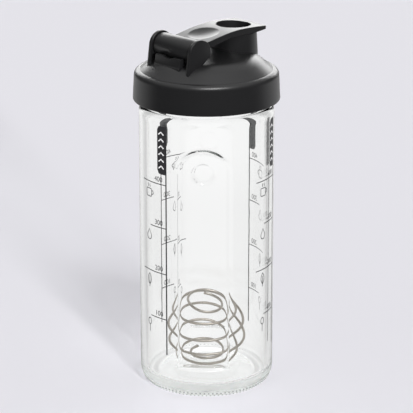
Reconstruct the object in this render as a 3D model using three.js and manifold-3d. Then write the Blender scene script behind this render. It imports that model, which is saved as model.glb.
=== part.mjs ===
// Batter shaker bottle: a thick glass bottle with a screw lid, a hinged flip cap that plugs
// the pouring spout, and a loose wire whisk ball inside.
// Millimetres, +Z up. The origin is the centre of the base, on the surface it stands on.
// -Y is the front of the bottle, where the arched flat of the glass is.

import * as THREE from "three";
import { mergeVertices } from "three/addons/utils/BufferGeometryUtils.js";
import Module from "manifold-3d";

const wasm = await Module();
wasm.setup();

// Clearances
const restGap = 0.3; // between pieces that touch on the real object
const threadGap = 0.6; // radial, between the two screw threads
const hingeGap = 0.4; // axial, between the hinge barrel and each ear
const pinGap = 0.3; // radial, between a hinge stub and its socket
const pocketGap = 0.6; // radial, between the hinge barrel and the lid round it
const plugGap = 0.4; // radial, between the plug and the spout
const overlap = 0.5; // how far joined shapes reach into each other

// Glass bottle
const bodyRadius = 45.2;
const wall = 4.8;
const shoulderHeight = 190; // from the base to where the glass turns in
const shoulderStep = 2.3; // how far the neck stands in from the body
const shoulderRise = 5;
const neckHeight = 19;
const neckWall = 3.4;
const rimRound = 1.2;
const heelWidth = 8.5;
const heelHeight = 10.5;
const bearingWidth = 5; // flat ring that the bottle stands on
const puntDepth = 4; // hollow under the base
const floorEdge = 8.5; // height of the inside floor at its rim
const floorDome = 5.5; // how much higher the inside floor is at its middle
const floorRound = 7;

// Arched flats on the front and the back of the glass
const flatDepth = 3.35; // the inside of the wall follows each flat
const flatAngle = -3; // the flats are turned this far about Z, in degrees
const flatBottom = 20;
const flatTop = 175.5;
const dimpleRadius = 7.2;
const dimpleDepth = 0.5;

// Screw thread of the neck and the lid
const threadLead = 6;
const threadHeight = 1.7;
const threadRoot = 3; // width of a ridge where it leaves the wall
const threadCrest = 1.4;
const neckTurns = 1.25;
const lidTurns = 1;
const threadBelowRim = 5;
const lidThreadRise = 2.2; // from the bottom of the skirt to the start of the lid's ridge

// Lid seal
const gasketThickness = 2;

// Screw lid
const skirtWall = 3.8;
const skirtDraft = 0.8; // how much narrower the skirt is at its top
const edgeRound = 1;
const seatDepth = 18.6; // from the bottom of the skirt up to the seal
const seatCover = 1.7; // thickness of the lid over the outer edge of the seal
const shoulderRound = 4;
const shoulderTurn = 90; // how far round the shoulder goes before the cone, in degrees
const coneRise = 8.4;
const coneRun = 10.4;
const crownRise = 0.7; // how much the top rises over its rounded edge
const crownRound = 6;
const crownSlope = 2.8; // how much further it rises to its middle
const crownMiddle = 8;
const shell = 2.5; // thickness of the top of the lid

// Pouring spout
const spoutBore = 13.6;
const spoutWall = 1.9;
const spoutDraft = 0.8;
const spoutHeight = 12.8; // above the top of the lid
const spoutInset = 24.8; // from the outside of the skirt in to the spout's axis

// Hinge of the flip cap
const hingeInset = 25.5; // from the outside of the skirt in to the hinge's axis
const pocketSink = 1; // how far the barrel's pocket cuts into the top of the lid
const barrelRadius = 8.2;
const barrelLength = 34.8;
const earThickness = 2.6;
const earRim = 1; // how far the ears stand out round the barrel
const earFoot = 11.4; // how far the foot of an ear reaches out from the axis
const earHeel = 3; // how far the back of that foot is out from the axis
const stubRadius = 2.4;
const socketSkin = 0.8; // what is left of an ear behind its socket
const detentHeight = 0.6;
const detentWidth = 8;
const detentAngle = 183;
const stopWallThickness = 2.34;
const stopWallSlot = 5.5; // gap between the stop wall and each ear
const stopWallDrop = 3.6; // from the hinge axis down to the top of the stop wall
const stopWallRun = 1.4; // how far out the front of the stop wall runs down to the cone
const dipDepth = 1.2; // of the dip in the top of the stop wall
const dipWidth = 10;

// Flip cap
const plateThickness = 4.2; // over the spout
const rootTop = 4.5; // top of the plate where it leaves the barrel, above the hinge axis
const rootBottom = 1.5; // its underside there, below the hinge axis
const plateWidth = 31.4;
const lipOverhang = 0.8; // how far the plate reaches past the spout
const lipThickness = 2;
const lipDroop = 1.1; // how much lower the top of the lip is than the plate
const lipRun = 10; // length of the thinning lip
const lipCorner = 2.5;
const plugDepth = 6.6;
const plugTaper = 1;
const plugWall = 1.5;
const scoopLength = 15.5;
const scoopWidth = 16;
const scoopDepth = 1.4;

// Wire whisk ball
const wireDiameter = 1.8;
const whiskOffset = 6; // how far behind the axis of the bottle the ball lies

// Radius of the wire's turns, and their height over the lowest one, at each quarter turn: from the
// upper end at the back down to the lower end. The turns lean to the front.
const coilRadii = [
  10.8, 11.3, 12, 12.8, 16.3, 19.9, 21.3, 22.8, 24, 25.3, 26, 26.3, 26.2, 26.2, 25.8, 25.6, 23.3,
  21, 19.9, 19.1, 15.6, 12.3, 11.5, 10.9, 9.5,
];
const coilHeights = [
  39.9, 36, 34.6, 39.2, 40.6, 33.1, 29.4, 32.6, 37.2, 25.7, 19, 22.7, 27.3, 14.2, 8.9, 11.6, 15.9,
  3.9, 0, 2.3, 4.8, 1.9, 0.8, 1.4, 2.4,
];
const coilHalfTurns = 11.75;

// The lid's hinge and spout lie on a line turned this far from +X, in degrees
const leverAngle = 42;

// Facets
const roundSides = 64;
const threadSteps = 40; // in a turn
const wireSteps = 24; // in a turn
const wireSides = 6;

// Sizes that follow from those above
const turn = 2 * Math.PI;
const cavityRadius = bodyRadius - wall;
const neckRadius = bodyRadius - shoulderStep;
const mouthRadius = neckRadius - neckWall;
const neckFoot = shoulderHeight + shoulderRise;
const rimHeight = neckFoot + neckHeight;
const lidBore = neckRadius + threadHeight + threadGap;
const skirtRadius = lidBore + skirtWall;
const skirtTopRadius = skirtRadius - skirtDraft;
const gasketBottom = rimHeight + restGap;
const lidBottom = gasketBottom + gasketThickness + restGap - seatDepth;
const shoulderEnd = THREE.MathUtils.degToRad(shoulderTurn);
const coneFootZ = seatDepth + seatCover;
const coneFootRadius = skirtTopRadius - shoulderRound * (1 - Math.cos(shoulderEnd));
const skirtHeight = coneFootZ - shoulderRound * Math.sin(shoulderEnd);
const crownRadius = coneFootRadius - coneRun;
const crownEdge = coneFootZ + coneRise;
const lidTop = crownEdge + crownRise;
const spoutOffset = skirtRadius - spoutInset;
const spoutOuter = spoutBore + spoutWall;
const spoutTop = lidTop + spoutHeight;
const hingeOffset = hingeInset - skirtRadius;
const hingeZ = lidTop + barrelRadius + pocketGap - pocketSink;
const earInner = barrelLength / 2 + hingeGap;
const earOuter = earInner + earThickness;
const neckThreadStart = rimHeight - threadBelowRim - threadLead * neckTurns;
const lever = THREE.MathUtils.degToRad(leverAngle);
const plateBottom = spoutTop + restGap;
const plateTop = plateBottom + plateThickness;

// A closed mesh as a solid that can be joined and cut.
function solid(geometry) {
  const bare = geometry.clone();
  bare.deleteAttribute("normal");
  bare.deleteAttribute("uv");
  const merged = mergeVertices(bare, 1e-4);
  return new wasm.Manifold(
    new wasm.Mesh({
      numProp: 3,
      vertProperties: new Float32Array(merged.attributes.position.array),
      triVerts: new Uint32Array(merged.index.array),
    }),
  );
}

// A solid back as a three.js geometry.
function geometryOf(body) {
  const mesh = body.getMesh();
  const geometry = new THREE.BufferGeometry();
  geometry.setAttribute("position", new THREE.BufferAttribute(mesh.vertProperties, 3));
  geometry.setIndex(new THREE.BufferAttribute(mesh.triVerts, 1));
  geometry.computeVertexNormals();
  return geometry;
}

// A profile of [radius, height] points, listed up the outside and down the inside, turned about Z.
function turned(profile, sides = roundSides) {
  const points = profile.map(([r, z]) => new THREE.Vector2(r, z));
  return new THREE.LatheGeometry(points, sides).rotateX(Math.PI / 2);
}

// Points of a quarter of an ellipse about a centre, from one angle to another in degrees.
function arc(centreR, centreZ, radiusR, radiusZ, from, to, steps) {
  return Array.from({ length: steps + 1 }, (_, i) => {
    const angle = THREE.MathUtils.degToRad(from + ((to - from) * i) / steps);
    return [centreR + radiusR * Math.cos(angle), centreZ + radiusZ * Math.sin(angle)];
  });
}

// Points of a shallow dome from one radius to another, highest on the axis.
function dome(edgeRadius, edgeZ, rise, from, to, steps) {
  return Array.from({ length: steps + 1 }, (_, i) => {
    const r = from + ((to - from) * i) / steps;
    return [r, edgeZ + rise * (1 - (r / edgeRadius) ** 2)];
  });
}

// A cylinder along Z between two heights, with its own radius at each end.
function cylinder(bottomRadius, topRadius, bottom, top, sides = roundSides) {
  return turned([[0, bottom], [bottomRadius, bottom], [topRadius, top], [0, top]], sides);
}

// A cylinder along Y, of a length centred on the XZ plane.
function crossCylinder(radius, length, sides = 40) {
  return cylinder(radius, radius, -length / 2, length / 2, sides).rotateX(Math.PI / 2);
}

// A flat outline in X and Z, made into a plate that is centred on a Y and has a thickness along Y.
function standingPlate(shape, y, thickness, curveSegments = 12) {
  const plate = new THREE.ExtrudeGeometry(shape, {
    depth: thickness,
    bevelEnabled: false,
    curveSegments,
  });
  return plate.rotateX(Math.PI / 2).translate(0, y + thickness / 2, 0);
}

// A closed tube through a row of rings of points, with a flat cap at each end.
function loft(rings) {
  const count = rings[0].length;
  const positions = rings.flat().flatMap((p) => [p.x, p.y, p.z]);
  const index = [];
  for (let i = 0; i + 1 < rings.length; i++) {
    for (let j = 0; j < count; j++) {
      const a = i * count + j;
      const b = i * count + ((j + 1) % count);
      index.push(a, b, b + count, a, b + count, a + count);
    }
  }
  const last = (rings.length - 1) * count;
  for (let j = 1; j + 1 < count; j++) {
    index.push(0, j + 1, j, last, last + j, last + j + 1);
  }
  const geometry = new THREE.BufferGeometry();
  geometry.setAttribute("position", new THREE.Float32BufferAttribute(positions, 3));
  geometry.setIndex(index);
  return geometry;
}

// One thread ridge that winds up round Z. It stands on a wall of one radius and reaches a crest of
// another, and it fades out at both ends.
function threadRidge(wallRadius, crestRadius, startAngle, startZ, turns) {
  const steps = Math.round(turns * threadSteps);
  const inward = crestRadius < wallRadius;
  const rootRadius = wallRadius + (inward ? overlap : -overlap);
  const rings = [];
  for (let i = 0; i <= steps; i++) {
    const angle = startAngle + (turns * turn * i) / steps;
    const z = startZ + (threadLead * turns * i) / steps;
    const fade = Math.min(1, i / 4, (steps - i) / 4);
    const crest = wallRadius + (crestRadius - wallRadius) * fade;
    const ring = [
      [rootRadius, -threadRoot / 2],
      [crest, -threadCrest / 2],
      [crest, threadCrest / 2],
      [rootRadius, threadRoot / 2],
    ].map(([r, dz]) => new THREE.Vector3(r * Math.cos(angle), r * Math.sin(angle), z + dz));
    rings.push(inward ? ring : ring.reverse());
  }
  return loft(rings);
}

// Height of the inside floor of the bottle at a distance from its axis.
function floorHeight(radius) {
  const share = Math.min(1, radius / (cavityRadius - floorRound));
  return floorEdge + floorDome * (1 - share ** 2);
}

function glassBottle() {
  const bearingOuter = bodyRadius - heelWidth;
  const bearingInner = bearingOuter - bearingWidth;
  const floorRadius = cavityRadius - floorRound;
  const profile = [
    ...dome(bearingInner, 0, puntDepth, 0, bearingInner, 4),
    ...arc(bearingOuter, heelHeight, heelWidth, heelHeight, -90, 0, 8),
    ...arc(neckRadius, shoulderHeight, shoulderStep, shoulderRise, 0, 90, 4),
    ...arc(neckRadius - rimRound, rimHeight - rimRound, rimRound, rimRound, 0, 90, 3),
    ...arc(mouthRadius + rimRound, rimHeight - rimRound, rimRound, rimRound, 90, 180, 3),
    [mouthRadius, neckFoot],
    [cavityRadius, shoulderHeight],
    ...arc(floorRadius, floorEdge + floorRound, floorRound, floorRound, 0, -90, 6),
    ...dome(floorRadius, floorEdge, floorDome, floorRadius, 0, 5).slice(1),
  ];
  const ridge = threadRidge(neckRadius, neckRadius + threadHeight, 0, neckThreadStart, neckTurns);

  // Each flat is cut by an upright arched block that is as wide as the flat. A pad of the same outline
  // on the inside of the wall follows it.
  const flatY = bodyRadius - flatDepth;
  const halfWidth = Math.sqrt(bodyRadius ** 2 - flatY ** 2) + overlap;
  const archCentre = flatTop - halfWidth;
  const arch = new THREE.Shape();
  arch.moveTo(-halfWidth, flatBottom);
  arch.lineTo(halfWidth, flatBottom);
  arch.absarc(0, archCentre, halfWidth, 0, Math.PI, false);
  const block = standingPlate(arch, flatY + bodyRadius / 2, bodyRadius, 10);
  const padY = cavityRadius - flatDepth;
  const padHalf = Math.sqrt(cavityRadius ** 2 - padY ** 2);
  const padPlan = new THREE.Shape();
  padPlan.moveTo(padHalf, cavityRadius + overlap);
  padPlan.lineTo(-padHalf, cavityRadius + overlap);
  padPlan.lineTo(-padHalf, padY);
  padPlan.lineTo(padHalf, padY);
  const padBlock = new THREE.ExtrudeGeometry(padPlan, { depth: rimHeight, bevelEnabled: false });
  const padArch = standingPlate(arch, bodyRadius / 2, bodyRadius * 2, 10);
  const pad = solid(padBlock).intersect(solid(padArch));
  const dimple = crossCylinder(dimpleRadius, 2 * (flatDepth + dimpleDepth), 24);
  dimple.translate(0, bodyRadius, archCentre);
  const cut = solid(block).add(solid(dimple));
  let body = solid(turned(profile)).add(solid(ridge));
  [flatAngle, flatAngle + 180].forEach((angle) => {
    body = body.add(pad.rotate([0, 0, angle])).subtract(cut.rotate([0, 0, angle]));
  });
  return geometryOf(body);
}

function lidGasket() {
  const inner = mouthRadius + restGap;
  const outer = lidBore - restGap;
  const top = gasketBottom + gasketThickness;
  return turned([
    [inner, gasketBottom],
    [outer, gasketBottom],
    [outer, top],
    [inner, top],
    [inner, gasketBottom],
  ]);
}

// Side view of an ear: a round head on the hinge axis and a foot that leans out to the cone.
function earOutline() {
  const radius = barrelRadius + earRim;
  const foot = seatDepth + shell;
  const ear = new THREE.Shape();
  ear.moveTo(hingeOffset - earFoot, foot);
  ear.lineTo(hingeOffset - earHeel, foot);
  ear.lineTo(hingeOffset - earHeel / 3, hingeZ - radius - earRim);
  ear.absarc(hingeOffset, hingeZ, radius, -0.12 * Math.PI, 0.955 * Math.PI, false);
  return ear;
}

// The lid and its flip cap are modelled with the bottom of the skirt on z = 0, the spout at +X and
// the hinge at -X.
function screwLid() {
  const outside = turned([
    [0, 0],
    ...arc(skirtRadius - edgeRound, edgeRound, edgeRound, edgeRound, -90, 0, 2),
    ...arc(skirtTopRadius - shoulderRound, skirtHeight, shoulderRound, shoulderRound, 0, shoulderTurn, 5),
    [crownRadius, crownEdge],
    [crownRadius - crownRound / 2, crownEdge + 0.7 * crownRise],
    [crownRadius - crownRound, lidTop],
    [crownMiddle, lidTop + crownSlope],
    [0, lidTop + crownSlope],
  ]);
  const drop = shell * Math.hypot(1, coneRise / coneRun);
  const innerFoot = coneFootZ + ((coneFootRadius - mouthRadius) * coneRise) / coneRun - drop;
  const inside = turned([
    [0, -edgeRound],
    [lidBore, -edgeRound],
    [lidBore, seatDepth],
    [mouthRadius, seatDepth],
    [mouthRadius, Math.max(innerFoot, seatDepth + overlap)],
    [crownRadius, crownEdge - drop],
    [crownRadius - crownRound, lidTop - shell],
    [0, lidTop - shell],
  ]);
  const spoutFoot = seatDepth + overlap;
  const spout = cylinder(spoutOuter + spoutDraft, spoutOuter, spoutFoot, spoutTop);
  const bore = cylinder(spoutBore, spoutBore, seatDepth + shell, spoutTop + overlap);
  const ears = [1, -1].map((side) =>
    standingPlate(earOutline(), side * (earInner + earThickness / 2), earThickness),
  );
  const socketLength = 2 * (earOuter - socketSkin);
  const socket = crossCylinder(stubRadius + pinGap, socketLength, 24);
  const pocket = crossCylinder(barrelRadius + pocketGap, 2 * earInner);
  const groove = crossCylinder(barrelRadius + detentHeight + pocketGap, detentWidth + 2);

  // The front of the stop wall curves up out of the cone, and its top has a dip for the detent.
  const wallTop = hingeZ - stopWallDrop;
  const pocketRadius = barrelRadius + pocketGap;
  const wallInner = hingeOffset - Math.sqrt(pocketRadius ** 2 - stopWallDrop ** 2);
  const wallOuter = wallInner - stopWallThickness;
  const wallFootU = wallOuter - stopWallRun;
  const coneSlope = coneRise / coneRun;
  const coneAt = (radius) => coneFootZ + (coneFootRadius - radius) * coneSlope;
  const wallFoot = seatDepth + overlap;
  const wallSide = new THREE.Shape();
  wallSide.moveTo(wallFootU, wallFoot);
  wallSide.lineTo(hingeOffset, wallFoot);
  wallSide.lineTo(hingeOffset, wallTop);
  wallSide.lineTo(wallOuter, wallTop);
  const bendU = wallOuter - 0.43 * stopWallRun;
  wallSide.quadraticCurveTo(bendU, coneAt(-bendU), wallFootU, coneAt(-wallFootU));
  const dipRadius = (dipDepth ** 2 + (dipWidth / 2) ** 2) / (2 * dipDepth);
  const dip = crossCylinder(dipRadius, skirtRadius, 48).rotateZ(Math.PI / 2);
  dip.translate(hingeOffset - skirtRadius / 2, 0, wallTop - dipDepth + dipRadius);
  const wallPlate = standingPlate(wallSide, 0, 2 * (earInner - stopWallSlot), 8);
  const stopWall = solid(wallPlate).subtract(solid(dip));

  let body = solid(outside).add(solid(spout.translate(spoutOffset, 0, 0)));
  body = body.add(stopWall);
  ears.forEach((ear) => (body = body.add(solid(ear))));
  [socket, pocket, groove].forEach((cut) => {
    body = body.subtract(solid(cut.translate(hingeOffset, 0, hingeZ)));
  });
  body = body.subtract(solid(inside)).subtract(solid(bore.translate(spoutOffset, 0, 0)));

  // The lid's ridge runs half a lead below the neck's, on the same helix.
  const ridgeZ = lidBottom + lidThreadRise;
  const ridgeAngle = (turn * (ridgeZ + threadLead / 2 - neckThreadStart)) / threadLead;
  const ridge = threadRidge(lidBore, neckRadius + threadGap, ridgeAngle - lever, lidThreadRise, lidTurns);
  return geometryOf(body.add(solid(ridge)));
}

function flipCap() {
  const lipU = spoutOffset + spoutOuter + lipOverhang;
  const lipTop = plateTop - lipDroop;
  const crestU = spoutOffset - 0.45 * spoutOuter;
  const rootU = hingeOffset + 0.8 * barrelRadius;
  const flatStart = spoutOffset - spoutOuter - overlap;
  const topCurve = new THREE.QuadraticBezierCurve(
    new THREE.Vector2(crestU, plateTop),
    new THREE.Vector2(crestU - 10, plateTop),
    new THREE.Vector2(rootU, hingeZ + rootTop),
  );
  const side = new THREE.Shape();
  side.moveTo(hingeOffset, hingeZ - rootBottom);
  side.lineTo(flatStart, plateBottom);
  side.lineTo(lipU - lipRun, plateBottom);
  side.lineTo(lipU, lipTop - lipThickness);
  side.lineTo(lipU, lipTop);
  side.quadraticCurveTo((lipU + crestU) / 2, plateTop + 0.1, crestU, plateTop);
  topCurve.getPoints(8).slice(1).forEach((p) => side.lineTo(p.x, p.y));
  side.lineTo(hingeOffset, hingeZ + rootTop);

  const half = plateWidth / 2;
  const plan = new THREE.Shape();
  plan.moveTo(hingeOffset - barrelRadius, -half);
  plan.lineTo(lipU - lipCorner, -half);
  plan.absarc(lipU - lipCorner, -half + lipCorner, lipCorner, -Math.PI / 2, 0, false);
  plan.absarc(lipU - lipCorner, half - lipCorner, lipCorner, 0, Math.PI / 2, false);
  plan.lineTo(hingeOffset - barrelRadius, half);
  const planBlock = new THREE.ExtrudeGeometry(plan, { depth: 2 * plateTop, bevelEnabled: false });

  const plugRadius = spoutBore - plugGap;
  const plugBottom = plateBottom - plugDepth;
  const plugFoot = plugRadius - plugTaper;
  const plug = cylinder(plugFoot, plugRadius, plugBottom, plateBottom + overlap);
  const cup = cylinder(plugFoot - plugWall, plugRadius - plugWall, plugBottom + plugWall, plateTop + 1);

  // A shallow thumb scoop between the barrel and the cup.
  const scoopAt = topCurve.getPoint(0.55);
  const scoopSlope = topCurve.getTangent(0.55);
  const scoop = new THREE.SphereGeometry(1, 24, 12);
  scoop.scale(scoopLength, scoopWidth, 4 * scoopDepth);
  scoop.translate(0, 0, 3 * scoopDepth).rotateY(-Math.atan(scoopSlope.y / scoopSlope.x));
  scoop.translate(scoopAt.x, 0, scoopAt.y);

  const barrel = crossCylinder(barrelRadius, barrelLength);
  const stubLength = earThickness - socketSkin - restGap;
  const stubs = crossCylinder(stubRadius, barrelLength + 2 * (hingeGap + stubLength), 24);
  const detentRadius = 0.4 * barrelRadius;
  const detent = crossCylinder(detentRadius, detentWidth, 24);
  const detentTurn = THREE.MathUtils.degToRad(detentAngle);
  const detentOut = barrelRadius + detentHeight - detentRadius;
  detent.translate(detentOut * Math.cos(detentTurn), 0, detentOut * Math.sin(detentTurn));

  let body = solid(standingPlate(side, 0, plateWidth)).intersect(solid(planBlock));
  body = body.add(solid(plug.translate(spoutOffset, 0, 0)));
  body = body.subtract(solid(scoop)).subtract(solid(cup.translate(spoutOffset, 0, 0)));
  [barrel, stubs, detent].forEach((piece) => {
    body = body.add(solid(piece.translate(hingeOffset, 0, hingeZ)));
  });
  return geometryOf(body);
}

// Middle line of the whisk's wire, from its upper end down: the turns of the ball, then a curl that
// goes in and up inside the lowest turn. It winds clockwise, as seen from above.
function whiskPath() {
  const coil = new THREE.CatmullRomCurve3(
    coilRadii.map((radius, i) => new THREE.Vector3(radius, 0, coilHeights[i])),
    false,
    "catmullrom",
  );
  const points = [];
  const steps = Math.round((coilHalfTurns / 2) * wireSteps);
  for (let i = 0; i <= steps; i++) {
    const half = (2 * i) / wireSteps;
    const p = coil.getPoint((2 * half) / (coilRadii.length - 1));
    p.applyAxisAngle(new THREE.Vector3(0, 0, 1), Math.PI / 2 - Math.PI * half);
    points.push(p);
  }

  // Each end runs on straight for one diameter of the wire.
  const lead = (from, to) => to.clone().sub(from).setLength(wireDiameter).add(to);
  points.unshift(lead(points[1], points[0]));
  points.push(lead(points.at(-2), points.at(-1)));

  // The ball lies a little to the back and stands on the floor at its lowest turn.
  points.forEach((p) => (p.y += whiskOffset));
  const clear = points.map((p) => p.z - wireDiameter / 2 - floorHeight(Math.hypot(p.x, p.y)));
  const lift = restGap - Math.min(...clear);
  points.forEach((p) => (p.z += lift));
  return points;
}

function whiskBall() {
  const points = whiskPath();
  const centre = new THREE.Vector3();
  points.forEach((p) => centre.add(p));
  centre.divideScalar(points.length);
  const rings = points.map((p, i) => {
    const ahead = points[Math.min(i + 1, points.length - 1)];
    const behind = points[Math.max(i - 1, 0)];
    const along = ahead.clone().sub(behind).normalize();
    const out = p.clone().sub(centre);
    out.addScaledVector(along, -out.dot(along)).normalize();
    const across = along.clone().cross(out);
    return Array.from({ length: wireSides }, (_, j) => {
      const angle = (turn * j) / wireSides;
      return p
        .clone()
        .addScaledVector(out, (wireDiameter / 2) * Math.cos(angle))
        .addScaledVector(across, (wireDiameter / 2) * Math.sin(angle));
    });
  });

  // The least gap between two stretches of the wire that are a third of a turn or more apart.
  let least = Infinity;
  for (let i = 0; i < points.length; i++) {
    for (let j = i + Math.round(wireSteps / 3); j < points.length; j++) {
      least = Math.min(least, points[i].distanceTo(points[j]) - wireDiameter);
    }
  }
  console.log(`least gap between turns of the whisk: ${least.toFixed(2)} mm`);
  return loft(rings);
}

function piece(name, geometry, colour, roughness, metalness) {
  const material = new THREE.MeshStandardMaterial({ color: colour, roughness, metalness });
  const mesh = new THREE.Mesh(geometry, material);
  mesh.name = name;
  return mesh;
}

const bottle = new THREE.Group();
bottle.name = "batter_shaker_bottle";
bottle.add(piece("glass_bottle", glassBottle(), "#e8efec", 0.05, 0));
bottle.add(piece("lid_gasket", lidGasket(), "#d9d9d6", 0.7, 0));
bottle.add(piece("whisk_ball", whiskBall(), "#b9b6b0", 0.3, 1));

const lid = new THREE.Group();
lid.add(piece("screw_lid", screwLid(), "#1a1a1b", 0.45, 0));
lid.add(piece("flip_cap", flipCap(), "#1a1a1b", 0.45, 0));
lid.rotation.z = lever;
lid.position.z = lidBottom;
bottle.add(lid);

export default bottle;
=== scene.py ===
import math

import bmesh
import bpy
from mathutils import Matrix, Vector


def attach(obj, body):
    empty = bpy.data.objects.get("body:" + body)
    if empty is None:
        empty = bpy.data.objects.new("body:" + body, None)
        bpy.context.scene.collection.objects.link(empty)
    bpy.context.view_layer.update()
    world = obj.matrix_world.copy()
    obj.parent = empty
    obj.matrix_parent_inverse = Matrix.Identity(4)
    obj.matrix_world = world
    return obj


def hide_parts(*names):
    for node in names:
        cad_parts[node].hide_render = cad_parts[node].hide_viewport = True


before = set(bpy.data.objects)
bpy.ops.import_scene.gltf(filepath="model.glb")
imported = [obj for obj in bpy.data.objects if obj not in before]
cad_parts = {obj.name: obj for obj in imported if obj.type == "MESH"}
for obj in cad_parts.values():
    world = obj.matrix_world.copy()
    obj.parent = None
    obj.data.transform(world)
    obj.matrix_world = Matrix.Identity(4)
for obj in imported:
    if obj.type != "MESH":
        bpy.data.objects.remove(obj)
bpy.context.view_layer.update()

# Glass bottle
# One thick piece of moulded clear glass: a straight body, a neck with a screw thread, and a flat with
# an arched top and a round dimple pressed into its front and its back. It stands on a ring inside
# its rounded heel, which has two rows of small knobs.

MM = 0.001
body_radius = 45.2
cavity_radius = 40.4
neck_radius = 42.9
mouth_radius = 39.5
shoulder_height = 190
neck_foot = 195
rim_height = 214
rim_round = 1.2
heel_width = 8.5
heel_height = 10.5
bearing_width = 5
punt_depth = 4
floor_edge = 8.5
floor_dome = 5.5
floor_round = 4
flat_y = 41.85
flat_bottom = 20
flat_top = 174.3
flat_ledge = 2.2
arch_ledge = 5.1
arch_bend = 0.3  # share of the ledge that bends at each of its ends
arch_taper = 1.8  # how fast the ledge narrows from the top of the arch to its sides
inner_corner = 0.7
flat_turn = math.radians(-3)
dimple_radius = 7.8
dimple_ledge = 2.2
dimple_depth = 1.25
back_dimple_depth = 0.5
thread_lead = 6
thread_height = 1.7
thread_turns = 1.25
thread_start = 201.5
thread_half = 1.6
thread_flank = 1.2
thread_fade = 0.08  # share of a turn in which each end of the thread runs out
glass_columns = 240
plain_row = 8  # height of a row of faces on the plain body
fine_row = 0.6  # height of a row where the flat starts, ends or bends
inner_fine_row = 0.8
foot_rows_top = 29
arch_rows = (147, 178)
inner_foot_rows_top = 27
inner_arch_rows = (150, 187)


def eased(share):
    """A share from 0 to 1 with soft ends."""
    share = min(max(share, 0), 1)
    return share * share * (3 - 2 * share)


def ramp(share, bend):
    """A share from 0 to 1 along a straight slope with a soft bend at each end."""
    share = min(max(share, 0), 1)
    if share > 0.5:
        return 1 - ramp(1 - share, bend)
    if share < bend:
        return share**2 / (2 * bend * (1 - bend))
    return (share - bend / 2) / (1 - bend)


def arc(centre, radii, first, last, steps):
    """Points (radius, height) along a part of an ellipse, with the angles in degrees."""
    angles = [math.radians(first + (last - first) * i / steps) for i in range(steps + 1)]
    return [(centre[0] + radii[0] * math.cos(a), centre[1] + radii[1] * math.sin(a)) for a in angles]


def straight(start, end, step):
    """Points after a start and up to an end, about a step apart."""
    count = max(1, round(math.dist(start, end) / step))
    return [tuple(Vector(start).lerp(Vector(end), i / count)) for i in range(1, count + 1)]


def spun(profile, columns):
    """A bmesh of a profile of (radius, height) points turned about Z."""
    bm = bmesh.new()
    verts = [bm.verts.new((radius, 0, height)) for radius, height in profile]
    edges = [bm.edges.new(pair) for pair in zip(verts, verts[1:])]
    bmesh.ops.spin(
        bm,
        geom=verts + edges,
        cent=(0, 0, 0),
        axis=(0, 0, 1),
        dvec=(0, 0, 0),
        angle=2 * math.pi,
        steps=columns,
        use_merge=True,
        use_duplicate=False,
    )
    bmesh.ops.remove_doubles(bm, verts=bm.verts, dist=1e-4)
    bmesh.ops.recalc_face_normals(bm, faces=bm.faces)
    return bm


def made_piece(bm, name, material, body):
    """An object from a bmesh in millimetres, smooth, with one material, that rides on a body."""
    bmesh.ops.scale(bm, vec=(MM, MM, MM), verts=bm.verts)
    for face in bm.faces:
        face.smooth = True
    mesh = bpy.data.meshes.new(name)
    bm.to_mesh(mesh)
    bm.free()
    mesh.materials.append(material)
    piece = bpy.data.objects.new(name, mesh)
    bpy.context.scene.collection.objects.link(piece)
    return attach(piece, body)


def new_material(name):
    """A material with its Principled node, its node list and its links."""
    material = bpy.data.materials.new(name)
    material.use_nodes = True
    nodes = material.node_tree.nodes
    return material, nodes["Principled BSDF"], nodes, material.node_tree.links


def fine_bump(nodes, links, shader, scale, strength, distance):
    """Noise on Object coordinates that makes a surface slightly uneven. Returns the noise node."""
    place = nodes.new("ShaderNodeTexCoord")
    noise = nodes.new("ShaderNodeTexNoise")
    noise.inputs["Scale"].default_value = scale
    noise.inputs["Detail"].default_value = 3
    bump = nodes.new("ShaderNodeBump")
    bump.inputs["Strength"].default_value = strength
    bump.inputs["Distance"].default_value = distance
    links.new(place.outputs["Object"], noise.inputs["Vector"])
    links.new(noise.outputs["Fac"], bump.inputs["Height"])
    links.new(bump.outputs["Normal"], shader.inputs["Normal"])
    return noise


def graded(nodes, links, value, value_range, result_range, interpolation="LINEAR"):
    """A socket that maps a range of a value to another range."""
    scale = nodes.new("ShaderNodeMapRange")
    scale.interpolation_type = interpolation
    ends = zip(("From Min", "From Max", "To Min", "To Max"), (*value_range, *result_range))
    for socket, end in ends:
        scale.inputs[socket].default_value = end
    links.new(value, scale.inputs["Value"])
    return scale.outputs["Result"]


def mixed(nodes, links, share, plain, other):
    """A socket that mixes two shaders by a share."""
    mix = nodes.new("ShaderNodeMixShader")
    links.new(share, mix.inputs["Fac"])
    links.new(plain, mix.inputs[1])
    links.new(other, mix.inputs[2])
    return mix.outputs["Shader"]


def along_axes(nodes, links, coordinates):
    """The X, Y and Z sockets of a set of texture coordinates."""
    place = nodes.new("ShaderNodeTexCoord")
    split = nodes.new("ShaderNodeSeparateXYZ")
    links.new(place.outputs[coordinates], split.inputs["Vector"])
    return split.outputs


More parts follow.
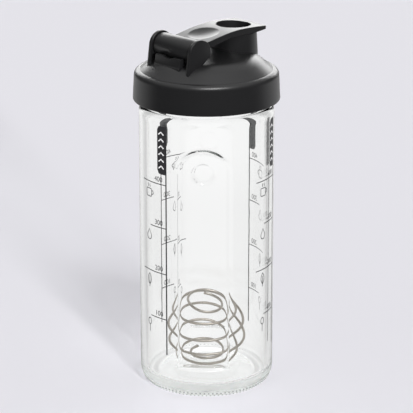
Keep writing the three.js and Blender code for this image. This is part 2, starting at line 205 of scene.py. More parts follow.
frosted_foot = (0.004, 0.0065)  # heights in metres between which the frosted foot clears
shaded_glass = (0.005, 0.085)  # heights in metres between which the glass lets more light through
glass, shader, nodes, links = new_material("clear_moulded_glass")
shader.inputs["Base Color"].default_value = (1, 1, 1, 1)
shader.inputs["Roughness"].default_value = 0.0
shader.inputs["IOR"].default_value = 1.5
shader.inputs["Transmission Weight"].default_value = 1
fine_bump(nodes, links, shader, scale=40, strength=0.04, distance=0.001)
along = along_axes(nodes, links, "Object")
frosted = graded(nodes, links, along["Z"], frosted_foot, (0.6, 0))
links.new(frosted, shader.inputs["Roughness"])
let_through = nodes.new("ShaderNodeBsdfTransparent")
thinner = graded(nodes, links, along["Z"], shaded_glass, (0.78, 0.995))
links.new(thinner, let_through.inputs["Color"])
light_path = nodes.new("ShaderNodeLightPath")
by_shadow = light_path.outputs["Is Shadow Ray"]
for_lamps = mixed(nodes, links, by_shadow, shader.outputs["BSDF"], let_through.outputs["BSDF"])
links.new(for_lamps, nodes["Material Output"].inputs["Surface"])
tint = nodes.new("ShaderNodeVolumeAbsorption")
tint.inputs["Color"].default_value = (0.8, 0.95, 0.88, 1)
tint.inputs["Density"].default_value = 3
links.new(tint.outputs["Volume"], nodes["Material Output"].inputs["Volume"])

bearing_outer = body_radius - heel_width
bearing_inner = bearing_outer - bearing_width
floor_radius = cavity_radius - floor_round
floor_top = floor_edge + floor_round
inner_foot = (cavity_radius, inner_foot_rows_top)
punt = [(bearing_inner * i / 12, punt_depth * (1 - (i / 12) ** 2)) for i in range(13)]
floor = [(floor_radius * i / 14, floor_edge + floor_dome * (1 - (i / 14) ** 2)) for i in range(14)]
heel = arc((bearing_outer, heel_height), (heel_width, heel_height), -90, 0, 24)
bottle_profile = [
    *punt,
    *heel,
    *straight((body_radius, heel_height), (body_radius, foot_rows_top), fine_row),
    *straight((body_radius, foot_rows_top), (body_radius, arch_rows[0]), plain_row),
    *straight((body_radius, arch_rows[0]), (body_radius, arch_rows[1]), fine_row),
    *straight((body_radius, arch_rows[1]), (body_radius, shoulder_height - 1), 3),
    *arc((neck_radius, shoulder_height), (body_radius - neck_radius, 5), 0, 90, 12),
    *straight((neck_radius, neck_foot), (neck_radius, rim_height - rim_round - 0.5), 0.5),
    *arc((neck_radius - rim_round, rim_height - rim_round), (rim_round, rim_round), 0, 90, 6),
    *arc((mouth_radius + rim_round, rim_height - rim_round), (rim_round, rim_round), 90, 180, 6),
    (mouth_radius, 205),
    (mouth_radius, 198),
    (mouth_radius + 0.1, 195.5),
    (mouth_radius + 0.45, 192.5),
    (cavity_radius - 0.1, 189.5),
    (cavity_radius, inner_arch_rows[1]),
    *straight((cavity_radius, inner_arch_rows[1]), (cavity_radius, inner_arch_rows[0]), inner_fine_row),
    *straight((cavity_radius, inner_arch_rows[0]), inner_foot, plain_row),
    *straight(inner_foot, (cavity_radius, floor_top + inner_fine_row), inner_fine_row),
    *arc((floor_radius, floor_top), (floor_round, floor_round), 0, -90, 16),
    *reversed(floor),
]
bm = spun(bottle_profile, glass_columns)

half_width = math.sqrt(body_radius**2 - flat_y**2)
arch_centre = flat_top - half_width
corners = set()
half_column = math.pi * flat_y / glass_columns
for vert in bm.verts:
    on_body = abs(vert.co.xy.length - body_radius) < 0.01 and abs(vert.co.y) > flat_y - 2
    if on_body and abs(abs(vert.co.x) - half_width) < half_column:
        vert.co.xy = math.copysign(half_width, vert.co.x), math.copysign(flat_y, vert.co.y)
        corners.add(vert)
for edge in bm.edges:
    if all(vert in corners and flat_bottom < vert.co.z < arch_centre + 1 for vert in edge.verts):
        edge.smooth = False

inner_y = flat_y - (body_radius - cavity_radius)
inner_level = inner_y + inner_corner**2 / (4 * (cavity_radius - inner_y))
for vert in bm.verts:
    radius = math.hypot(vert.co.x, vert.co.y)
    across, depth, height = vert.co.x, abs(vert.co.y), vert.co.z
    outside = radius > body_radius - 0.01
    from_centre = math.hypot(across, height - arch_centre)
    if outside and depth > flat_y - 0.01:
        reach = half_width
        dimple = dimple_depth if vert.co.y < 0 else back_dimple_depth
        dimple *= eased((dimple_radius - from_centre) / dimple_ledge)
        sink = depth - flat_y
    elif abs(radius - cavity_radius) < 0.01 and depth > cavity_radius / 2:
        reach = half_width + inner_corner
        dimple = 0
        sink = depth - (depth + inner_level - math.hypot(depth - inner_level, inner_corner)) / 2
    else:
        continue
    pressed = eased((height - flat_bottom) / flat_ledge)
    if height > arch_centre:
        ledge = max(arch_ledge * ((height - arch_centre) / from_centre) ** arch_taper, 0.1)
        pressed *= ramp((reach - from_centre) / ledge, arch_bend)
    vert.co.y -= math.copysign(pressed * sink + dimple, vert.co.y)
bmesh.ops.rotate(bm, cent=(0, 0, 0), matrix=Matrix.Rotation(flat_turn, 3, "Z"), verts=bm.verts)

for vert in bm.verts:
    radius = math.hypot(vert.co.x, vert.co.y)
    height = vert.co.z
    if abs(radius - neck_radius) < 0.01 and height > neck_foot:
        turns = math.atan2(vert.co.y, vert.co.x) / (2 * math.pi) % 1
        ridge = 0
        for lap in (turns, turns + 1):
            off = abs(height - thread_start - thread_lead * lap)
            fade = eased(lap / thread_fade) * eased((thread_turns - lap) / thread_fade)
            ridge = max(ridge, fade * eased((thread_half - off) / thread_flank))
        vert.co.xy *= 1 + thread_height * ridge / radius

glass_bottle = made_piece(bm, "glass_bottle_clear", glass, "bottle")
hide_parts("glass_bottle")

stipple_radius = 0.6
stipple_count = 96
stipple_rows = heel[8:16:5]
# The knobs are real glass knobs; their opaque dark grey is painted shade, standing in for the darkness
# of light bent through clear knobs and for the darker edge where the heel meets the floor.
stipple_painted_shade, shader, nodes, links = new_material("stippled_glass_painted_shade")
shader.inputs["Base Color"].default_value = (0.24, 0.245, 0.245, 1)
shader.inputs["Roughness"].default_value = 0.4
bm = bmesh.new()
for row, (radius, height) in enumerate(stipple_rows):
    for i in range(stipple_count):
        angle = 2 * math.pi * (i + row / 2) / stipple_count
        place = Matrix.Translation((radius * math.cos(angle), radius * math.sin(angle), height))
        bmesh.ops.create_icosphere(bm, subdivisions=1, radius=stipple_radius, matrix=place)
made_piece(bm, "glass_heel_stipples", stipple_painted_shade, "bottle")

# Whisk ball
# One length of drawn steel wire wound into an open ball, with its lower end curled in and up inside
# the lowest turn. It lies loose on the floor of the glass, a little to the back, and its turns lean
# to the front.

wire_radius = 0.9
whisk_offset = 6
coil_radii = (  # at each quarter of a turn, from the top end of the wire to its lower end
    10.8, 11.3, 12, 12.8, 16.3, 19.9, 21.3, 22.8, 24, 25.3, 26, 26.3, 26.2,
    26.2, 25.8, 25.6, 23.3, 21, 19.9, 19.1, 15.6, 12.3, 11.5, 10.9, 9.5,
)
coil_heights = (  # at the same places, over the lowest of them
    39.9, 36, 34.6, 39.2, 40.6, 33.1, 29.4, 32.6, 37.2, 25.7, 19, 22.7, 27.3,
    14.2, 8.9, 11.6, 15.9, 3.9, 0, 2.3, 4.8, 1.9, 0.8, 1.4, 2.4,
)
coil_turns = 5.875
rest_gap = 0.3
steps_per_turn = 48

steel, shader, nodes, links = new_material("drawn_steel_wire")
shader.inputs["Base Color"].default_value = (0.4, 0.37, 0.33, 1)
shader.inputs["Metallic"].default_value = 1
shader.inputs["Roughness"].default_value = 0.3
fine_bump(nodes, links, shader, scale=900, strength=0.08, distance=0.0002)


def between(values, place):
    """A smooth curve through values that are one step apart."""
    i = min(int(place), len(values) - 2)
    share = place - i
    b, c = values[i], values[i + 1]
    a = values[i - 1] if i else 2 * b - c
    d = values[i + 2] if i + 2 < len(values) else 2 * c - b
    return b + share / 2 * (c - a + share * (2 * a - 5 * b + 4 * c - d + share * (3 * (b - c) + d - a)))


path = []
for i in range(round(coil_turns * steps_per_turn) + 1):
    turns = i / steps_per_turn
    radius = between(coil_radii, 4 * turns)
    height = between(coil_heights, 4 * turns)
    angle = math.pi / 2 - 2 * math.pi * turns
    path.append(Vector((radius * math.cos(angle), radius * math.sin(angle) + whisk_offset, height)))
path.insert(0, path[0] + (path[0] - path[1]).normalized() * 2 * wire_radius)
path.append(path[-1] + (path[-1] - path[-2]).normalized() * 2 * wire_radius)


def floor_height(radius):
    """Height of the inside floor of the bottle at a distance from its axis."""
    return floor_edge + floor_dome * (1 - min(1, radius / floor_radius) ** 2)


lift = rest_gap - min(p.z - wire_radius - floor_height(p.xy.length) for p in path)
wire = bpy.data.curves.new("whisk_wire", "CURVE")
wire.dimensions = "3D"
wire.bevel_depth = wire_radius * MM
wire.bevel_resolution = 4
wire.use_fill_caps = True
spline = wire.splines.new("POLY")
spline.points.add(len(path) - 1)
for place, point in zip(spline.points, path):
    place.co = (point.x * MM, point.y * MM, (point.z + lift) * MM, 1)
wire_object = bpy.data.objects.new("whisk_wire", wire)
bm = bmesh.new()
bm.from_mesh(wire_object.to_mesh())
wire_object.to_mesh_clear()
bpy.data.objects.remove(wire_object)
bmesh.ops.remove_doubles(bm, verts=bm.verts, dist=1e-7)
bmesh.ops.recalc_face_normals(bm, faces=bm.faces)
bmesh.ops.scale(bm, vec=(1 / MM, 1 / MM, 1 / MM), verts=bm.verts)
whisk = made_piece(bm, "whisk_wire_ball", steel, "whisk")
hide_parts("whisk_ball")

# Lid seal
# One moulded ring of soft pale silicone with rounded edges. It lies in the lid, between its seat and
# the rim of the glass, and rises with the lid.

seal_inner = 39.9
seal_outer = 44.9
seal_bottom = 214.3
seal_top = 216.3
seal_round = 0.6

silicone, shader, nodes, links = new_material("pale_silicone")
shader.inputs["Base Color"].default_value = (0.72, 0.72, 0.7, 1)
shader.inputs["Roughness"].default_value = 0.55
fine_bump(nodes, links, shader, scale=1500, strength=0.1, distance=0.0002)
corner = (seal_round, seal_round)
seal_profile = [
    (seal_inner, (seal_bottom + seal_top) / 2),
    *arc((seal_inner + seal_round, seal_bottom + seal_round), corner, 180, 270, 4),
    *arc((seal_outer - seal_round, seal_bottom + seal_round), corner, 270, 360, 4),
    *arc((seal_outer - seal_round, seal_top - seal_round), corner, 0, 90, 4),
    *arc((seal_inner + seal_round, seal_top - seal_round), corner, 90, 180, 4),
]
bm = spun([*seal_profile, seal_profile[0]], 128)
seal = made_piece(bm, "lid_seal_ring", silicone, "seal")
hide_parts("lid_gasket")

# Screw lid
# One black satin moulding: a skirt with an inside thread, a cone, a pouring spout, two hinge ears and
# a low stop wall between them. It screws down on the neck over the seal.

lid_bottom = 198
lever_turn = math.radians(42)
lid_bore = 45.2
lid_top = 29.4
lid_ceiling = 26.9
seat_depth = 18.6
seat_inner = 39.5
skirt_radius = 49
skirt_round = 4
hem_round = 1
hem_chamfer = 0.4
cone_foot = (44.2, 20.3)
cone_head = (33.8, 28.7)
crown_edge = 27.8
crown_flat = 8
crown_rise = 2.8
crown_bend_start = 25.5
crown_bend_middle = 32.2
crown_bend_end = 37.5
crown_bend_lift = 0.9
lid_thread_foot = 2.2
lid_thread_top = 12.4
lid_thread_start = 0.2833  # share of a turn from +X
moulding_foot = 19.1
spout_offset = 24.2
spout_bore = 13.6
spout_outer = 15.5
spout_foot_radius = 16.3
spout_top = 42.2
spout_bore_bottom = 21.1
lip_round = 0.5
hinge_offset = -23.5
hinge_height = 37.2
barrel_radius = 8.2
barrel_half = 17.4
barrel_gap = 0.6
stub_radius = 2.4
stub_half = 19.3
stub_gap = 0.3
detent_gap = 1.2
detent_pocket_half = 5
ear_inner = 17.8
ear_thickness = 2.6
ear_radius = 9.2
ear_foot = 21.1
stop_wall_width = 24.6
stop_wall_drop = 3.6
stop_wall_outer = -33.87
stop_wall_run = 1.4
stop_wall_bend = 0.57  # share of the run at which the front of the wall bends up
dip_radius = 11
dip_half = 10
dip_depth = 1.2
cutter_round = 0.2
lid_columns = 200

satin_black, shader, nodes, links = new_material("black_satin_plastic")
shader.inputs["Base Color"].default_value = (0.007, 0.007, 0.0075, 1)
grain = fine_bump(nodes, links, shader, scale=1800, strength=0.12, distance=0.0002)
gloss = graded(nodes, links, grain.outputs["Fac"], (0, 1), (0.3, 0.4))
links.new(gloss, shader.inputs["Roughness"])


def combined(bm, other, operation):
    """A bmesh joined with another or cut by it. Both are used up."""
    objects = []
    for part in (bm, other):
        mesh = bpy.data.meshes.new("working")
        part.to_mesh(mesh)
        part.free()
        objects.append(bpy.data.objects.new("working", mesh))
        bpy.context.scene.collection.objects.link(objects[-1])
    base, tool = objects
    boolean = base.modifiers.new("combined", "BOOLEAN")
    boolean.object = tool
    boolean.operation = operation
    boolean.solver = "EXACT"
    result = bmesh.new()
    result.from_mesh(base.evaluated_get(bpy.context.evaluated_depsgraph_get()).to_mesh())
    for part in objects:
        bpy.data.meshes.remove(part.data)
    return result


def slab(outline, y, thickness, edge_round):
    """A plate with an outline of (x, z) points, centred on a y, with rounded edges."""
    bm = bmesh.new()
    face = bm.faces.new([bm.verts.new((x, y - thickness / 2, z)) for x, z in outline])
    pushed = bmesh.ops.extrude_face_region(bm, geom=[face])["geom"]
    moved = [item for item in pushed if isinstance(item, bmesh.types.BMVert)]
    bmesh.ops.translate(bm, vec=(0, thickness, 0), verts=moved)
    bmesh.ops.recalc_face_normals(bm, faces=bm.faces)
    round_rims(bm, edge_round)
    return bm


def round_rims(bm, edge_round):
    """Rounds every edge where two faces meet at more than 60 degrees."""
    rims = [edge for edge in bm.edges if edge.calc_face_angle(0) > math.radians(60)]
    bmesh.ops.bevel(
        bm,
        geom=rims,
        offset=edge_round,
        offset_type="OFFSET",
        segments=3,
        profile=0.5,
        affect="EDGES",
        clamp_overlap=True,
        material=-1,
    )


def cross_drum(radius, half_length, edge_round, columns=96):
    """A drum along Y on the hinge axis, with rounded ends."""
    profile = [
        (0, -half_length),
        *arc((radius - edge_round, edge_round - half_length), (edge_round, edge_round), -90, 0, 4),
        *arc((radius - edge_round, half_length - edge_round), (edge_round, edge_round), 0, 90, 4),
        (0, half_length),
    ]
    bm = spun(profile, columns)
    bmesh.ops.rotate(bm, cent=(0, 0, 0), matrix=Matrix.Rotation(math.pi / 2, 3, "X"), verts=bm.verts)
    bmesh.ops.translate(bm, vec=(hinge_offset, 0, hinge_height), verts=bm.verts)
    return bm


def on_spout(profile):
    """A round shape about the axis of the spout."""
    bm = spun(profile, 128)
    bmesh.ops.translate(bm, vec=(spout_offset, 0, 0), verts=bm.verts)
    return bm


def bent(start, bend, end, steps):
    """Points along a curve from a start to an end that is drawn towards a bend."""
    shares = [i / steps for i in range(steps + 1)]
    return [tuple(start.lerp(bend, s).lerp(bend.lerp(end, s), s)) for s in shares]


cone_slope = (cone_head[1] - cone_foot[1]) / (cone_foot[0] - cone_head[0])
crown_slope = crown_rise / (crown_edge - crown_flat)
crown_height = lid_top - (crown_bend_middle - crown_edge) * crown_slope + crown_bend_lift
crown = bent(
    Vector((crown_bend_start, lid_top + (crown_edge - crown_bend_start) * crown_slope)),
    Vector((crown_bend_middle, crown_height)),
    Vector((crown_bend_end, cone_foot[1] + (cone_foot[0] - crown_bend_end) * cone_slope)),
    10,
)
skirt_top = cone_foot[1] - skirt_round
ceiling = [
    (seat_inner, 21.4),
    (33.8, 25.6),
    (30.8, 26.5),
    (crown_edge, lid_ceiling),
    (0, lid_ceiling),
]
lid_profile = [
    (0, lid_top + crown_rise),
    (6, lid_top + crown_rise),
    (8.5, lid_top + 2.7),
    (11, lid_top + 2.37),
    *crown,
    *straight(crown[-1], cone_foot, 2),
    *arc((cone_foot[0], skirt_top), (skirt_round, skirt_round), 90, 0, 12)[1:],
    *straight((cone_foot[0] + skirt_round, skirt_top), (skirt_radius, hem_round), 3),
    *arc((skirt_radius - hem_round, hem_round), (hem_round, hem_round), 0, -90, 5)[1:],
    (lid_bore + hem_chamfer, 0),
    (lid_bore, hem_chamfer),
    *straight((lid_bore, hem_chamfer), (lid_bore, lid_thread_top), 0.5),
    (lid_bore, seat_depth),
    (seat_inner, seat_depth),
    *ceiling,
]
bm = spun(lid_profile, lid_columns)
for vert in bm.verts:
    radius = vert.co.xy.length
    if abs(radius - lid_bore) < 0.01 and vert.co.z < lid_thread_top:
        turns = (math.atan2(vert.co.y, vert.co.x) + lever_turn) / (2 * math.pi)
        lap = (turns - lid_thread_start) % 1
        off = abs(vert.co.z - lid_thread_foot - thread_lead * lap)
        fade = eased(lap / thread_fade) * eased((1 - lap) / thread_fade)
        ridge = fade * eased((thread_half - off) / thread_flank)
        vert.co.xy *= 1 - thread_height * ridge / radius

lip = (lip_round, lip_round)
spout = on_spout([
    (0, moulding_foot),
    (spout_foot_radius, moulding_foot),
    (spout_foot_radius - 0.05, 29),
    *arc((spout_outer - lip_round, spout_top - lip_round), lip, 0, 90, 4),
    (0, spout_top),
])
bm = combined(bm, spout, "UNION")
ear_outline = [
    (hinge_offset - 11.4, ear_foot),
    (hinge_offset - 3, ear_foot),
    (hinge_offset - 1, 27.6),
    *arc((hinge_offset, hinge_height), (ear_radius, ear_radius), -22, 172, 34),
]
ear_middle = ear_inner + ear_thickness / 2
for side in (1, -1):
    ear = slab(ear_outline, side * ear_middle, ear_thickness, edge_round=0.5)
    bm = combined(bm, ear, "UNION")
wall_top = hinge_height - stop_wall_drop
wall_foot_u = stop_wall_outer - stop_wall_run
wall_foot = Vector((wall_foot_u, cone_foot[1] + (cone_foot[0] + wall_foot_u) * cone_slope))
wall_bend = wall_foot + stop_wall_bend * stop_wall_run * Vector((1, cone_slope))
wall_head = Vector((stop_wall_outer, wall_top))
wall_outline = [
    (wall_foot_u, moulding_foot),
    (hinge_offset, moulding_foot),
    (hinge_offset, wall_top),
    *bent(wall_head, wall_bend, wall_foot, 16),
]
wall = slab(wall_outline, 0, stop_wall_width, edge_round=0.4)
dip = cross_drum(dip_radius, dip_half, cutter_round)
bmesh.ops.translate(dip, vec=(-hinge_offset, 0, -hinge_height), verts=dip.verts)
bmesh.ops.rotate(dip, cent=(0, 0, 0), matrix=Matrix.Rotation(math.pi / 2, 3, "Z"), verts=dip.verts)
dip_place = (hinge_offset - dip_radius, 0, wall_top - dip_depth + dip_radius)
bmesh.ops.translate(dip, vec=dip_place, verts=dip.verts)
bm = combined(bm, combined(wall, dip, "DIFFERENCE"), "UNION")
barrel_pocket = cross_drum(barrel_radius + barrel_gap, ear_inner, cutter_round)
bm = combined(bm, barrel_pocket, "DIFFERENCE")
detent_pocket = cross_drum(barrel_radius + detent_gap, detent_pocket_half, cutter_round)
bm = combined(bm, detent_pocket, "DIFFERENCE")
stub_holes = cross_drum(stub_radius + stub_gap, stub_half + stub_gap, cutter_round, columns=32)
bm = combined(bm, stub_holes, "DIFFERENCE")
bore = on_spout([
    (0, spout_bore_bottom),
    (spout_bore, spout_bore_bottom),
    *arc((spout_bore + lip_round, spout_top - lip_round), lip, 180, 90, 4),
    (spout_bore + lip_round, spout_top + 1),
    (0, spout_top + 1),
])
bm = combined(bm, bore, "DIFFERENCE")
hollow = spun([(0, 17), (seat_inner, 17), *ceiling], lid_columns)
bm = combined(bm, hollow, "DIFFERENCE")


def lid_piece(bm, name, material, body, sharp_angle):
    """A piece of the lid from a bmesh in the lid's own frame, with creases kept sharp."""
    bmesh.ops.rotate(bm, cent=(0, 0, 0), matrix=Matrix.Rotation(lever_turn, 3, "Z"), verts=bm.verts)
    bmesh.ops.translate(bm, vec=(0, 0, lid_bottom), verts=bm.verts)
    piece = made_piece(bm, name, material, body)
    piece.data.set_sharp_from_angle(angle=math.radians(sharp_angle))
    return piece


screw_lid = lid_piece(bm, "screw_lid_black", satin_black, "lid", 35)
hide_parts("screw_lid")

# Flip cap
# One black moulding: a wide hinge barrel with a stub at each end that turns in the ears, a plate with
# a thumb scoop, and a hollow plug that shuts the spout.

lip_u = 40.5
plate_top = 46.7
plate_bottom = 42.5
root_u = -16.94
root_top = 41.7
crest_u = 17.23
crest_run = 10  # length behind the crest at which the plate bends down to its root
plug_radius = 13.2
plug_bottom = 35.9
plug_taper = 1
plug_round = 0.6
lip_corner = 2.5
lip_drop = 1.1
lip_rise = 10  # length at the lip over which the underside rises
plate_half = 15.7
plate_start_u = -20
belly_u = 8.2
root_bottom = 35.7
scoop_u = -2.5
scoop_length = 15.5
scoop_width = 16
scoop_depth = 5.6
scoop_level = 4.2
detent_size = (2.6, 4.2, 2.6)
detent_height = 0.6
detent_turn = math.radians(183)
cup_radius = 10.7
cup_rim_radius = 12.3
cup_floor = 1.5


def plate_top_height(u):
    """Height of the plate's top at a distance along the lever."""
    if u > crest_u:
        return plate_top - lip_drop * ((u - crest_u) / (lip_u - crest_u)) ** 2
    a = root_u - crest_u + 2 * crest_run
    b = -2 * crest_run
    share = (-b - math.sqrt(b * b - 4 * a * (crest_u - max(u, root_u)))) / (2 * a)
    return plate_top + (root_top - plate_top) * share**2


def plate_bottom_height(u):
    """Height of the plate's underside at a distance along the lever."""
    if u < belly_u:
        share = (u - hinge_offset) / (belly_u - hinge_offset)
        return root_bottom + (plate_bottom - root_bottom) * share
    return plate_bottom + lip_drop * max(0, (u - lip_u + lip_rise) / lip_rise)


bm = bmesh.new()
bmesh.ops.create_grid(bm, x_segments=120, y_segments=60, size=1)
for vert in bm.verts:
    u = plate_start_u + (lip_u - plate_start_u) * (vert.co.x + 1) / 2
    past = max(0, u - lip_u + lip_corner)
    half = plate_half - lip_corner + math.sqrt(max(0, lip_corner**2 - past**2))
    v = vert.co.y * half
    bowl = math.sqrt(max(0, 1 - ((u - scoop_u) / scoop_length) ** 2 - (v / scoop_width) ** 2))
    vert.co = (u, v, plate_top_height(u) - max(0, scoop_depth * bowl - scoop_level))
pushed = bmesh.ops.extrude_face_region(bm, geom=bm.faces[:])["geom"]
for item in pushed:
    if isinstance(item, bmesh.types.BMVert):
        item.co.z = plate_bottom_height(item.co.x)
bmesh.ops.recalc_face_normals(bm, faces=bm.faces)
round_rims(bm, edge_round=0.5)
bm = combined(bm, cross_drum(barrel_radius, barrel_half, edge_round=1), "UNION")
bm = combined(bm, cross_drum(stub_radius, stub_half, edge_round=0.3, columns=32), "UNION")
detent = bmesh.new()
bmesh.ops.create_uvsphere(detent, u_segments=24, v_segments=16, radius=1)
bmesh.ops.scale(detent, vec=detent_size, verts=detent.verts)
detent_out = barrel_radius + detent_height - detent_size[0]
detent_u = hinge_offset + detent_out * math.cos(detent_turn)
detent_z = hinge_height + detent_out * math.sin(detent_turn)
bmesh.ops.translate(detent, vec=(detent_u, 0, detent_z), verts=detent.verts)
bm = combined(bm, detent, "UNION")
plug_edge = (plug_round, plug_round)
plug = on_spout([
    (0, plug_bottom),
    *arc((plug_radius - plug_taper - plug_round, plug_bottom + plug_round), plug_edge, -90, 0, 4),
    (plug_radius, plate_bottom),
    (plug_radius, plate_bottom + 0.5),
    (0, plate_bottom + 0.5),
])
bm = combined(bm, plug, "UNION")
cup = on_spout([
    (0, plug_bottom + cup_floor),
    (cup_radius - 0.5, plug_bottom + cup_floor),
    (cup_radius, plug_bottom + cup_floor + 0.5),
    *arc((cup_rim_radius, plate_top - plug_round), plug_edge, 180, 90, 4),
    (cup_rim_radius, plate_top + 2),
    (0, plate_top + 2),
])
bm = combined(bm, cup, "DIFFERENCE")
flip_cap = lid_piece(bm, "flip_cap_black", satin_black, "cap", 35)
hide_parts("flip_cap")

# Print on the glass
# Dark enamel fired on the outside of the glass: four upright measuring scales. Each is a line with a
# rounded tab at its top, level marks, plain numbers and small outline drawings. Pale chevrons lie on
# the tabs.

print_lift = 0.03
print_thickness = 0.05
tab_lift = 0.1
tab_width = 7.5
tab_low = 155
tab_high = 188
tab_corner = 3
chevron_count = 6
chevron_step = 4.6
chevron_foot = 4
chevron = ((-6.2, 0), (-4, 1.8), (-1.8, 0))
chevron_line = 0.8
scale_foot = 29
line_half = 0.5
mark_half = 0.3
drawing_line = 0.55
drawing_place = (-16.5, -8)  # from where a level mark meets the line
number_size = 5
number_place = (-10.5, 1.6)

enamel, shader, nodes, links = new_material("dark_enamel_print")
shader.inputs["Base Color"].default_value = (0.02, 0.02, 0.022, 1)
shader.inputs["Roughness"].default_value = 0.5
fine_bump(nodes, links, shader, scale=2500, strength=0.1, distance=0.0001)
pale_enamel, shader, nodes, links = new_material("pale_enamel_print")
shader.inputs["Base Color"].default_value = (0.75, 0.75, 0.75, 1)
shader.inputs["Roughness"].default_value = 0.5
fine_bump(nodes, links, shader, scale=2500, strength=0.1, distance=0.0001)


def bar(bm, left, right, low, high):
    """A flat bar of print, in millimetres round the glass and up it. Returns its corners."""
    columns = math.ceil(right - left)
    made = bmesh.ops.create_grid(bm, x_segments=columns, y_segments=1, size=0.5)["verts"]
    bmesh.ops.scale(bm, vec=(right - left, high - low, 1), verts=made)
    bmesh.ops.translate(bm, vec=((left + right) / 2, (low + high) / 2, 0), verts=made)
    return made


def stroke(bm, points, width):
    """A flat ribbon of print along a run of points. A run that ends where it starts is closed."""
    closed = math.dist(points[0], points[-1]) < 1e-6
    run = points[:-1] if closed else points
    last = len(run) - 1
    sides = []
    for i, (x, y) in enumerate(run):
        before = run[i - 1] if closed else run[max(i - 1, 0)]
        after = run[(i + 1) % len(run)] if closed else run[min(i + 1, last)]
        along = (Vector(after) - Vector(before)).normalized() * width / 2
        left = bm.verts.new((x - along.y, y + along.x, 0))
        right = bm.verts.new((x + along.y, y - along.x, 0))
        sides.append((left, right))
    for first, second in zip(sides, sides[1:] + sides[: 1 if closed else 0]):
        bm.faces.new((first[0], first[1], second[1], second[0]))


def number(bm, digits, x, y, size):
    """A plain number in print, with its lower left corner at a point."""
    text = bpy.data.curves.new("number", "FONT")
    text.body = digits
    text.size = size
    text_object = bpy.data.objects.new("number", text)
    letters = bmesh.new()
    letters.from_mesh(text_object.to_mesh())
    text_object.to_mesh_clear()
    bpy.data.objects.remove(text_object)
    bmesh.ops.translate(letters, vec=(x, y, 0), verts=letters.verts)
    mesh = bpy.data.meshes.new("number")
    letters.to_mesh(mesh)
    letters.free()
    bm.from_mesh(mesh)
    bpy.data.meshes.remove(mesh)


def on_glass(bm, azimuth, lift, name, material):
    """Print from flat shapes, wound on the glass at an azimuth and made solid."""
    pushed = bmesh.ops.extrude_face_region(bm, geom=bm.faces[:])["geom"]
    for item in pushed:
        if isinstance(item, bmesh.types.BMVert):
            item.co.z += print_thickness
    for vert in bm.verts:
        turn = math.radians(azimuth) + vert.co.x / body_radius
        reach = body_radius + lift + vert.co.z
        vert.co = (reach * math.sin(turn), -reach * math.cos(turn), vert.co.y)
    bmesh.ops.recalc_face_normals(bm, faces=bm.faces)
    piece = made_piece(bm, name, material, "bottle")
    piece.data.set_sharp_from_angle(angle=math.radians(30))


drop = [[(0, 4.8), *arc((0, 0), (2.4, 2.4), 150, 390, 20), (0, 4.8)]]
cup_base = [*arc((-1.8, -1.4), (1, 1), 180, 270, 5), *arc((1.8, -1.4), (1, 1), 270, 360, 5)]
mug = [
    [(-2.8, 3), *cup_base, (2.8, 3), *straight((2.8, 3), (-2.8, 3), 0.8)],
    arc((2.8, 0.6), (1.9, 1.4), 80, -80, 10),
    [(-1, 4), (-0.6, 4.8), (-1.2, 5.6), (-0.8, 6.4)],
    [(1, 4), (1.4, 4.8), (0.8, 5.6), (1.2, 6.4)],
]
leaf_edge = [(1.9 * math.sin(math.pi * i / 16), 8 * i / 16 - 2.4) for i in range(17)]
leaf = [[*leaf_edge, *[(-x, y) for x, y in reversed(leaf_edge)][1:]], [(0, -4), (0, 3.4)]]
spoon = [arc((0, 3.4), (1.7, 2.3), -90, 270, 20), [(0, 1.1), (0, -4)]]
levels = (  # height, length of the mark, number and drawing
    (148, 24, "400", mug),
    (118, 15, "300", drop),
    (86, 24, "200", leaf),
    (54, 15, "100", spoon),
)
scales = (("front", -36), ("right", 77), ("back_right", 134), ("back_left", 230))
for name, azimuth in scales:
    bm = bmesh.new()
    bar(bm, -line_half, line_half, scale_foot, tab_high)
    for vert in bar(bm, -tab_width, -line_half, tab_low, tab_high):
        past = max(0, tab_corner - tab_width - vert.co.x)
        cut_back = tab_corner - math.sqrt(max(0, tab_corner**2 - past**2))
        vert.co.y += cut_back if vert.co.y < (tab_low + tab_high) / 2 else -cut_back
    for height, length, digits, drawing in levels:
        bar(bm, -length, -line_half, height - mark_half, height + mark_half)
        number(bm, digits, number_place[0], height + number_place[1], number_size)
        for line in drawing:
            points = [(x + drawing_place[0], y + height + drawing_place[1]) for x, y in line]
            stroke(bm, points, drawing_line)
    on_glass(bm, azimuth, print_lift, "scale_print_" + name, enamel)
    chevrons = bmesh.new()
    for i in range(chevron_count):
        height = tab_low + chevron_foot + chevron_step * i
        stroke(chevrons, [(x, y + height) for x, y in chevron], chevron_line)
    on_glass(chevrons, azimuth, tab_lift, "tab_print_" + name, pale_enamel)

# Floor and light
# A plain pale floor that fills the view, even sky light, a low lamp from the front right that throws
# the soft shadow, and two panels, behind and above, that the black lid mirrors.

floor_half = 6
painted_glow_fade_reach = (0.36, 0.72)  # sideways reach over distance at which the painted glow of the floor behind glass fades into painted shade
painted_glow_rise_span = (0.36, 0.56)  # metres behind the bottle where the painted glow of the floor seen through glass is brighter
painted_reflection_span = (-0.1, 0.35)  # metres from front to back where the floor's painted reflection glow brightens


def worked_out(nodes, links, operation, first, second=0):
    """A socket with the result of a sum on a socket and on another socket or a number."""
    step = nodes.new("ShaderNodeMath")
    step.operation = operation
    links.new(first, step.inputs[0])
    if isinstance(second, bpy.types.NodeSocket):
        links.new(second, step.inputs[1])
    else:
        step.inputs[1].default_value = second
    return step.outputs["Value"]


def glow(nodes, links, strength):
    """A shader socket that gives white light of a strength."""
    light = nodes.new("ShaderNodeEmission")
    links.new(strength, light.inputs["Strength"])
    return light.outputs["Emission"]


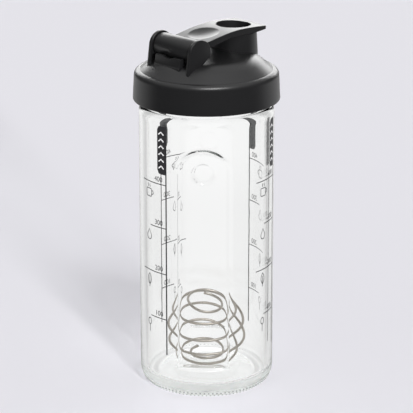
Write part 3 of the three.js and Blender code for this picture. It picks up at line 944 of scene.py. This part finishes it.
floor_material, shader, nodes, links = new_material("pale_floor")
shader.inputs["Base Color"].default_value = (0.804, 0.796, 0.843, 1)
shader.inputs["Roughness"].default_value = 0.9
shader.inputs["Specular IOR Level"].default_value = 0
rays = nodes.new("ShaderNodeLightPath").outputs
along = along_axes(nodes, links, "Object")
aside = worked_out(nodes, links, "ABSOLUTE", along["X"])
away = worked_out(nodes, links, "ABSOLUTE", along["Y"])
reach = worked_out(nodes, links, "ADD", away, 0.12)
sideways = worked_out(nodes, links, "DIVIDE", aside, reach)
# Painted light: for rays through the glass the floor glows as an emission, brighter behind the bottle
# and fading to the sides as painted shade.
painted_glow_fade = graded(nodes, links, sideways, painted_glow_fade_reach, (0.94, 0.62), "SMOOTHSTEP")
painted_glow_behind = graded(nodes, links, along["Y"], painted_glow_rise_span, (1, 1.06), "SMOOTHSTEP")
painted_glow_through_glass = glow(nodes, links, worked_out(nodes, links, "MULTIPLY", painted_glow_fade, painted_glow_behind))
# Painted reflection: for mirror rays the floor glows as an emission, dark in front and brighter behind.
painted_reflection_strength = graded(nodes, links, along["Y"], painted_reflection_span, (0.1, 0.7), "SMOOTHSTEP")
painted_reflection_glow = glow(nodes, links, painted_reflection_strength)
by_mirror = mixed(nodes, links, rays["Is Glossy Ray"], shader.outputs["BSDF"], painted_reflection_glow)
by_glass = mixed(nodes, links, rays["Is Transmission Ray"], by_mirror, painted_glow_through_glass)
links.new(by_glass, nodes["Material Output"].inputs["Surface"])
bm = bmesh.new()
bmesh.ops.create_grid(bm, x_segments=8, y_segments=8, size=floor_half)
mesh = bpy.data.meshes.new("floor")
bm.to_mesh(mesh)
bm.free()
mesh.materials.append(floor_material)
floor_object = bpy.data.objects.new("floor", mesh)
bpy.context.scene.collection.objects.link(floor_object)

world = bpy.data.worlds.new("studio")
bpy.context.scene.world = world
world.use_nodes = True
nodes = world.node_tree.nodes
links = world.node_tree.links
rays = nodes.new("ShaderNodeLightPath").outputs
upward = along_axes(nodes, links, "Generated")["Z"]
mirrored = graded(nodes, links, upward, (0.25, 1), (0.12, 1), "SMOOTHSTEP")
by_mirror = nodes.new("ShaderNodeMix")
by_mirror.inputs["A"].default_value = 0.6
links.new(rays["Is Glossy Ray"], by_mirror.inputs["Factor"])
links.new(mirrored, by_mirror.inputs["B"])
by_glass = nodes.new("ShaderNodeMix")
by_glass.inputs["B"].default_value = 0.82
links.new(rays["Is Transmission Ray"], by_glass.inputs["Factor"])
links.new(by_mirror.outputs["Result"], by_glass.inputs["A"])
links.new(by_glass.outputs["Result"], nodes["Background"].inputs["Strength"])
nodes["Background"].inputs["Color"].default_value = (1, 1, 1, 1)


def lamp(name, kind, place, aim, strength, size):
    """A lamp at a place, turned to a point."""
    data = bpy.data.lights.new(name, kind)
    data.energy = strength
    if kind == "SUN":
        data.angle = size
    else:
        data.shape = "RECTANGLE"
        data.size, data.size_y = size
    lamp_object = bpy.data.objects.new(name, data)
    lamp_object.location = place
    lamp_object.rotation_euler = (Vector(aim) - Vector(place)).to_track_quat("-Z", "Y").to_euler()
    bpy.context.scene.collection.objects.link(lamp_object)
    return lamp_object


key = lamp("key_lamp", "SUN", (0.38, -0.925, 0.268), (0, 0, 0), strength=4.5, size=math.radians(6))
key.visible_glossy = False
key.visible_transmission = False
back_panel = lamp("back_panel", "AREA", (0.1, 1.6, 0.7), (0, 0, 0.25), strength=20, size=(2, 0.6))
top_panel = lamp("top_panel", "AREA", (0.22, -0.9, 1.3), (0, 0, 0.2), strength=14, size=(0.6, 0.3))
for panel in (back_panel, top_panel):
    panel.visible_diffuse = False
    panel.visible_transmission = False

bpy.context.scene.view_settings.view_transform = "Standard"

# Camera
# It stands in front, a little above the lid, with a long lens.

camera = bpy.data.cameras.new("camera")
camera.sensor_width = 36
camera.lens = 193.4
camera_object = bpy.data.objects.new("camera", camera)
camera_object.location = (0, -1.42694, 0.57743)
aim = Vector((0, 0, 0.1221))
camera_object.rotation_euler = (aim - camera_object.location).to_track_quat("-Z", "Y").to_euler()
bpy.context.scene.collection.objects.link(camera_object)
bpy.context.scene.camera = camera_object
